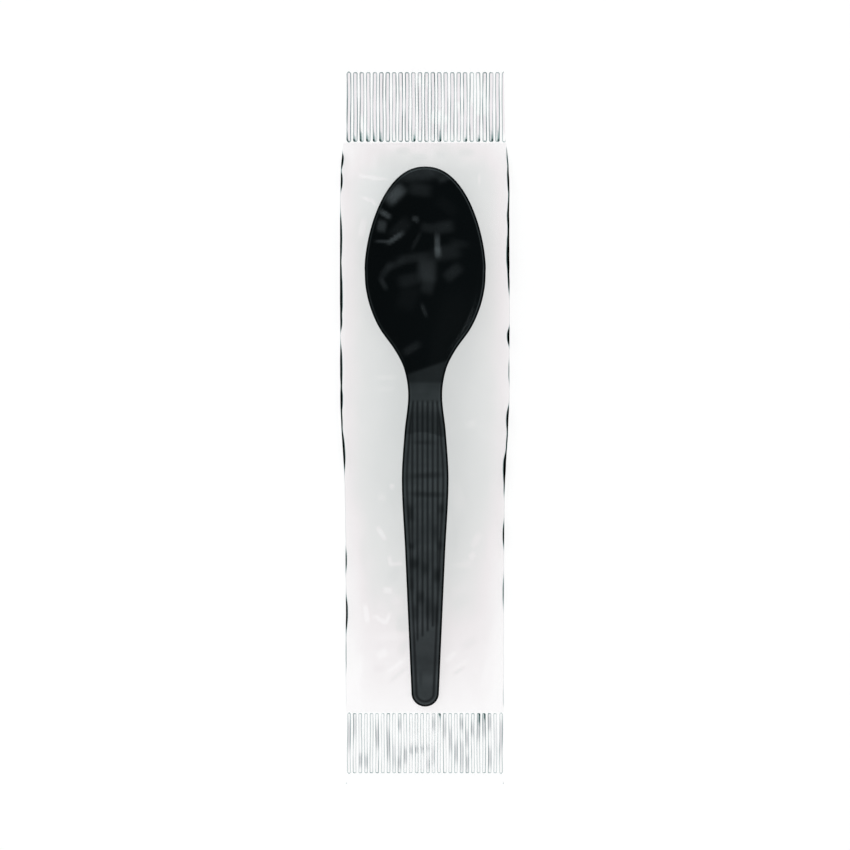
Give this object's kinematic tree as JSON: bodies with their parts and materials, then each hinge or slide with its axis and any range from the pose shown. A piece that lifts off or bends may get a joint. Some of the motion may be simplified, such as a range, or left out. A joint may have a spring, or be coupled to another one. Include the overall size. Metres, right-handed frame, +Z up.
{
  "type": "wrapped plastic teaspoon",
  "caption": "Disposable plastic teaspoon sealed in a clear flow-wrap film pack with ribbed, crimped ends.",
  "frame": {"origin": "on the surface the pack lies on, under the middle of the pack", "axes": "+Y along the pack towards the spoon's bowl, +X across the pack, +Z up out of the spoon's bowl"},
  "size_m": [0.046, 0.1942, 0.012],
  "materials": {
    "spoon_plastic": "moulded black polystyrene with a smooth, glossy bowl and a finely grooved handle",
    "clear_film": "thin clear polypropylene film, glossy, with soft creases and ribbed heat seals at both ends"
  },
  "bodies": {
    "root": {"spoon": "spoon_plastic", "film_wrapper": "clear_film"}
  },
  "joints": []
}
